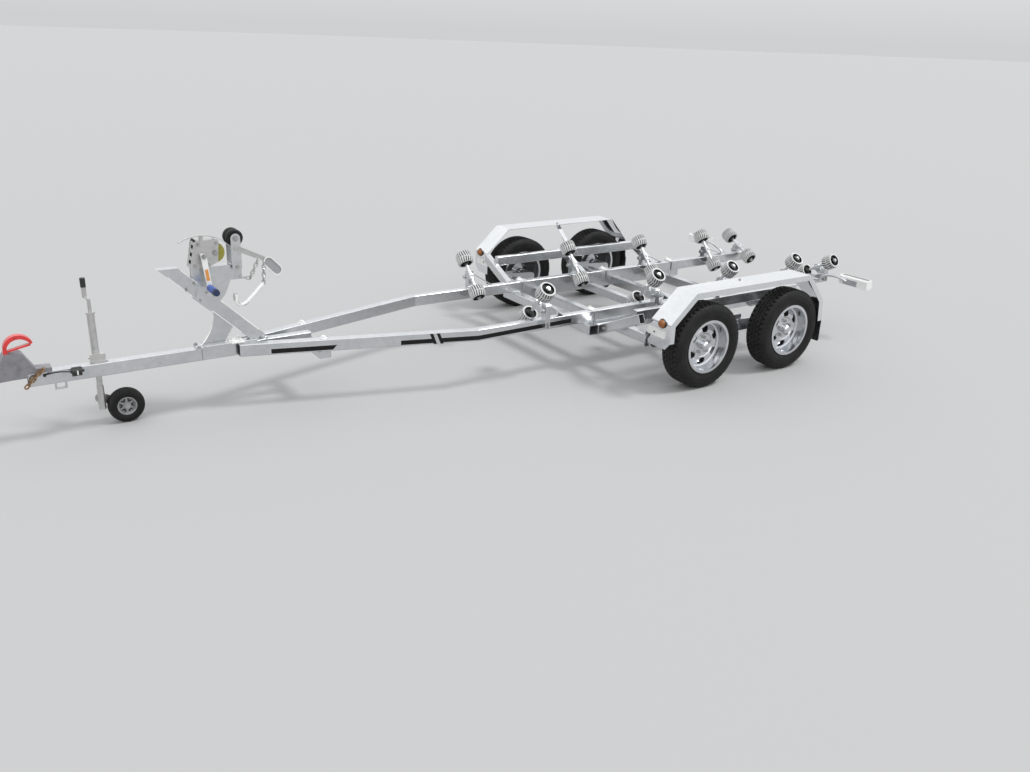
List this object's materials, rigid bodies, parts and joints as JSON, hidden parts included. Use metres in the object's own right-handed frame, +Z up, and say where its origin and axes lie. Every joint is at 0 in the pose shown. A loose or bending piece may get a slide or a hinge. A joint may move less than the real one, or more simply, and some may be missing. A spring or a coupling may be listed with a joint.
{
  "type": "boat trailer",
  "caption": "Tandem-axle galvanised boat trailer with tilting roller pairs, steel guards, winch post with bow roller, jockey wheel and ball coupler.",
  "frame": {"origin": "middle of the whole trailer's box, on the floor", "axes": "+X forward to the coupler, +Y to the trailer's left, +Z up"},
  "size_m": [6.45, 2.47, 1.131],
  "materials": {
    "galvanised": "hot-dip galvanised",
    "tyre": "worn black rubber",
    "roller_rubber": "ribbed grey rubber",
    "black_rubber": "black rubber",
    "winch_zinc": "zinc plated",
    "webbing": "woven strap",
    "red_paint": "red paint",
    "lamp": "red lens",
    "amber": "amber lens on a white marker",
    "chain": "yellow-passivated steel",
    "black_plastic": "black plastic"
  },
  "bodies": {
    "frame": {"drawbar": "galvanised", "rail_left": "galvanised", "rail_right": "galvanised", "sub_frame": "galvanised", "tie_tube": "galvanised", "guard_beams": "galvanised", "axle_units": "galvanised", "guard_left": "galvanised", "guard_right": "galvanised", "mudflaps": "black_rubber", "roller_stands": "galvanised", "winch_post": "galvanised", "winch_arm": "galvanised", "winch_frame": "winch_zinc", "bow_roller_bracket": "galvanised", "coupler": "winch_zinc", "coupler_handle": "red_paint", "jockey_outer_tube": "winch_zinc", "jockey_crank": "winch_zinc", "lamp_arms": "winch_zinc", "tail_lamps": "lamp", "amber_lamps": "amber", "bow_hook": "winch_zinc", "safety_chain": "chain", "plug_lead": "black_plastic"},
    "wheel_front_left": {"tyre_front_left": "tyre", "rim_front_left": "galvanised"},
    "wheel_front_right": {"tyre_front_right": "tyre", "rim_front_right": "galvanised"},
    "wheel_rear_left": {"tyre_rear_left": "tyre", "rim_rear_left": "galvanised"},
    "wheel_rear_right": {"tyre_rear_right": "tyre", "rim_rear_right": "galvanised"},
    "rocker_1_left": {"rocker_1_left": "galvanised"},
    "rollers_1_left": {"rollers_1_left": "roller_rubber"},
    "rocker_1_right": {"rocker_1_right": "galvanised"},
    "rollers_1_right": {"rollers_1_right": "roller_rubber"},
    "rocker_2_left": {"rocker_2_left": "galvanised"},
    "rollers_2_left": {"rollers_2_left": "roller_rubber"},
    "rocker_2_right": {"rocker_2_right": "galvanised"},
    "rollers_2_right": {"rollers_2_right": "roller_rubber"},
    "rocker_3_left": {"rocker_3_left": "galvanised"},
    "rollers_3_left": {"rollers_3_left": "roller_rubber"},
    "rocker_3_right": {"rocker_3_right": "galvanised"},
    "rollers_3_right": {"rollers_3_right": "roller_rubber"},
    "rocker_4_left": {"rocker_4_left": "galvanised"},
    "rollers_4_left": {"rollers_4_left": "roller_rubber"},
    "rocker_4_right": {"rocker_4_right": "galvanised"},
    "rollers_4_right": {"rollers_4_right": "roller_rubber"},
    "rocker_5_left": {"rocker_5_left": "galvanised"},
    "rollers_5_left": {"rollers_5_left": "roller_rubber"},
    "rocker_5_right": {"rocker_5_right": "galvanised"},
    "rollers_5_right": {"rollers_5_right": "roller_rubber"},
    "bow_roller": {"bow_roller": "black_rubber"},
    "winch_drum": {"winch_drum": "webbing"},
    "winch_handle": {"winch_handle": "winch_zinc"},
    "jockey_inner_tube": {"jockey_inner_tube": "winch_zinc"},
    "jockey_fork": {"jockey_fork": "winch_zinc"},
    "jockey_wheel": {"jockey_tyre": "black_rubber", "jockey_rim": "winch_zinc"}
  },
  "joints": [
    {"name": "wheel_front_left_spin", "type": "hinge", "parent": "frame", "child": "wheel_front_left", "pos_m": [-1.075, 1.145, 0.302], "axis": [0, 1, 0], "continuous": true},
    {"name": "wheel_front_right_spin", "type": "hinge", "parent": "frame", "child": "wheel_front_right", "pos_m": [-1.075, -1.145, 0.302], "axis": [0, 1, 0], "continuous": true},
    {"name": "wheel_rear_left_spin", "type": "hinge", "parent": "frame", "child": "wheel_rear_left", "pos_m": [-1.901, 1.145, 0.302], "axis": [0, 1, 0], "continuous": true},
    {"name": "wheel_rear_right_spin", "type": "hinge", "parent": "frame", "child": "wheel_rear_right", "pos_m": [-1.901, -1.145, 0.302], "axis": [0, 1, 0], "continuous": true},
    {"name": "rocker_1_left_tilt", "type": "hinge", "parent": "frame", "child": "rocker_1_left", "pos_m": [-0.16, 0.515, 0.497], "axis": [1, 0, 0], "range_deg": [-25, 0]},
    {"name": "rollers_1_left_spin", "type": "hinge", "parent": "rocker_1_left", "child": "rollers_1_left", "pos_m": [-0.16, 0.442, 0.524], "axis": [0, 0.6691, 0.7431], "continuous": true},
    {"name": "rocker_1_right_tilt", "type": "hinge", "parent": "frame", "child": "rocker_1_right", "pos_m": [-0.16, -0.515, 0.497], "axis": [-1, 0, 0], "range_deg": [-25, 0]},
    {"name": "rollers_1_right_spin", "type": "hinge", "parent": "rocker_1_right", "child": "rollers_1_right", "pos_m": [-0.16, -0.442, 0.524], "axis": [0, -0.6691, 0.7431], "continuous": true},
    {"name": "rocker_2_left_tilt", "type": "hinge", "parent": "frame", "child": "rocker_2_left", "pos_m": [-1.161, 0.515, 0.485], "axis": [1, 0, 0], "range_deg": [-25, 0]},
    {"name": "rollers_2_left_spin", "type": "hinge", "parent": "rocker_2_left", "child": "rollers_2_left", "pos_m": [-1.161, 0.442, 0.512], "axis": [0, 0.6691, 0.7431], "continuous": true},
    {"name": "rocker_2_right_tilt", "type": "hinge", "parent": "frame", "child": "rocker_2_right", "pos_m": [-1.161, -0.515, 0.485], "axis": [-1, 0, 0], "range_deg": [-25, 0]},
    {"name": "rollers_2_right_spin", "type": "hinge", "parent": "rocker_2_right", "child": "rollers_2_right", "pos_m": [-1.161, -0.442, 0.512], "axis": [0, -0.6691, 0.7431], "continuous": true},
    {"name": "rocker_3_left_tilt", "type": "hinge", "parent": "frame", "child": "rocker_3_left", "pos_m": [-1.937, 0.515, 0.466], "axis": [1, 0, 0], "range_deg": [-25, 0]},
    {"name": "rollers_3_left_spin", "type": "hinge", "parent": "rocker_3_left", "child": "rollers_3_left", "pos_m": [-1.937, 0.442, 0.493], "axis": [0, 0.6691, 0.7431], "continuous": true},
    {"name": "rocker_3_right_tilt", "type": "hinge", "parent": "frame", "child": "rocker_3_right", "pos_m": [-1.937, -0.515, 0.466], "axis": [-1, 0, 0], "range_deg": [-25, 0]},
    {"name": "rollers_3_right_spin", "type": "hinge", "parent": "rocker_3_right", "child": "rollers_3_right", "pos_m": [-1.937, -0.442, 0.493], "axis": [0, -0.6691, 0.7431], "continuous": true},
    {"name": "rocker_4_left_tilt", "type": "hinge", "parent": "frame", "child": "rocker_4_left", "pos_m": [-2.685, 0.515, 0.452], "axis": [1, 0, 0], "range_deg": [-25, 0]},
    {"name": "rollers_4_left_spin", "type": "hinge", "parent": "rocker_4_left", "child": "rollers_4_left", "pos_m": [-2.685, 0.442, 0.479], "axis": [0, 0.6691, 0.7431], "continuous": true},
    {"name": "rocker_4_right_tilt", "type": "hinge", "parent": "frame", "child": "rocker_4_right", "pos_m": [-2.685, -0.515, 0.452], "axis": [-1, 0, 0], "range_deg": [-25, 0]},
    {"name": "rollers_4_right_spin", "type": "hinge", "parent": "rocker_4_right", "child": "rollers_4_right", "pos_m": [-2.685, -0.442, 0.479], "axis": [0, -0.6691, 0.7431], "continuous": true},
    {"name": "rocker_5_left_tilt", "type": "hinge", "parent": "frame", "child": "rocker_5_left", "pos_m": [-3.103, 0.515, 0.431], "axis": [1, 0, 0], "range_deg": [-15, 0]},
    {"name": "rollers_5_left_spin", "type": "hinge", "parent": "rocker_5_left", "child": "rollers_5_left", "pos_m": [-3.103, 0.45477, 0.4803], "axis": [0, 0.8746, 0.4848], "continuous": true},
    {"name": "rocker_5_right_tilt", "type": "hinge", "parent": "frame", "child": "rocker_5_right", "pos_m": [-3.103, -0.515, 0.431], "axis": [-1, 0, 0], "range_deg": [-15, 0]},
    {"name": "rollers_5_right_spin", "type": "hinge", "parent": "rocker_5_right", "child": "rollers_5_right", "pos_m": [-3.103, -0.45477, 0.4803], "axis": [0, -0.8746, 0.4848], "continuous": true},
    {"name": "bow_roller_spin", "type": "hinge", "parent": "frame", "child": "bow_roller", "pos_m": [1.777, 0, 1.08], "axis": [0, 1, 0], "continuous": true},
    {"name": "winch_drum_turn", "type": "hinge", "parent": "frame", "child": "winch_drum", "pos_m": [1.901, 0, 1.004], "axis": [0, 1, 0], "continuous": true},
    {"name": "winch_handle_turn", "type": "hinge", "parent": "frame", "child": "winch_handle", "pos_m": [1.981, 0, 0.999], "axis": [0, 1, 0], "continuous": true},
    {"name": "jockey_raise", "type": "slide", "parent": "frame", "child": "jockey_inner_tube", "axis": [0, 0, 1], "range_m": [-0.2, 0.07]},
    {"name": "jockey_swivel", "type": "hinge", "parent": "jockey_inner_tube", "child": "jockey_fork", "pos_m": [2.599, -0.085, 0.2552], "axis": [0, 0, 1], "continuous": true},
    {"name": "jockey_wheel_spin", "type": "hinge", "parent": "jockey_fork", "child": "jockey_wheel", "pos_m": [2.468, -0.085, 0.105], "axis": [0, 1, 0], "continuous": true}
  ],
  "couplings": [
    {"joint": "winch_handle_turn", "follows": "winch_drum_turn", "ratio": -3.5}
  ]
}
